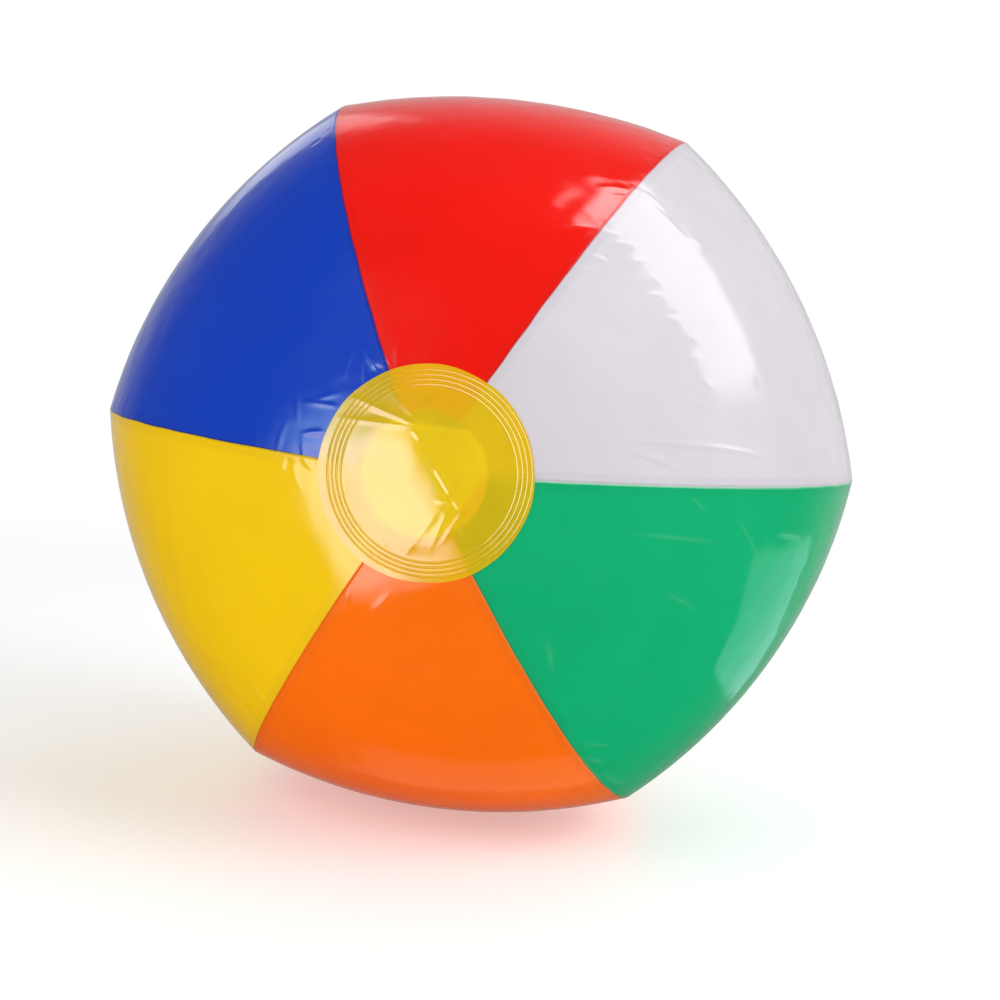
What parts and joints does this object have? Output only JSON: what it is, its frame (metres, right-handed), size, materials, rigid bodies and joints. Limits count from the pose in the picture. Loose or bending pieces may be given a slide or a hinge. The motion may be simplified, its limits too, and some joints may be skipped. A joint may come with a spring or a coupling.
{
  "type": "inflatable beach ball",
  "caption": "Inflated beach ball of welded coloured film panels with translucent end discs and a tethered push-in air valve.",
  "frame": {"origin": "centre of the inflated ball", "axes": "+Y along the ball's polar axis, out of the valve in the rear end disc; +Z through the middle of the red panel; +X right, seen from the plain end disc"},
  "size_m": [0.2617, 0.2404, 0.2501],
  "materials": {
    "red_film": "glossy opaque PVC film, about 0.25 mm",
    "white_film": "glossy opaque PVC film, about 0.25 mm",
    "green_film": "glossy opaque PVC film, about 0.25 mm",
    "orange_film": "glossy opaque PVC film, about 0.25 mm",
    "yellow_film": "glossy opaque PVC film, about 0.25 mm",
    "blue_film": "glossy opaque PVC film, about 0.25 mm",
    "disc_film": "glossy translucent yellow PVC film",
    "clear_vinyl": "soft translucent moulded PVC"
  },
  "bodies": {
    "ball": {"panel_red": "red_film", "panel_white": "white_film", "panel_green": "green_film", "panel_orange": "orange_film", "panel_yellow": "yellow_film", "panel_blue": "blue_film", "end_disc_front": "disc_film", "end_disc_rear": "disc_film", "valve_flange": "clear_vinyl", "valve_skirt": "clear_vinyl"},
    "stem": {"valve_stem": "clear_vinyl"},
    "plug": {"valve_plug": "clear_vinyl", "plug_tether": "clear_vinyl"},
    "flap": {"check_flap": "clear_vinyl"}
  },
  "joints": [
    {"name": "valve_pull", "type": "slide", "parent": "ball", "child": "stem", "axis": [0, 1, 0], "range_m": [0, 0.016], "deforming": ["valve_skirt"]},
    {"name": "plug_swing", "type": "hinge", "parent": "stem", "child": "plug", "pos_m": [0, 0.11789, 0.009], "axis": [1, 0, 0], "range_deg": [0, 105]},
    {"name": "flap_open", "type": "hinge", "parent": "stem", "child": "flap", "pos_m": [0, 0.10479, 0.0049], "axis": [-1, 0, 0], "range_deg": [0, 70], "stiffness_Nm_per_rad": 0.0001}
  ]
}
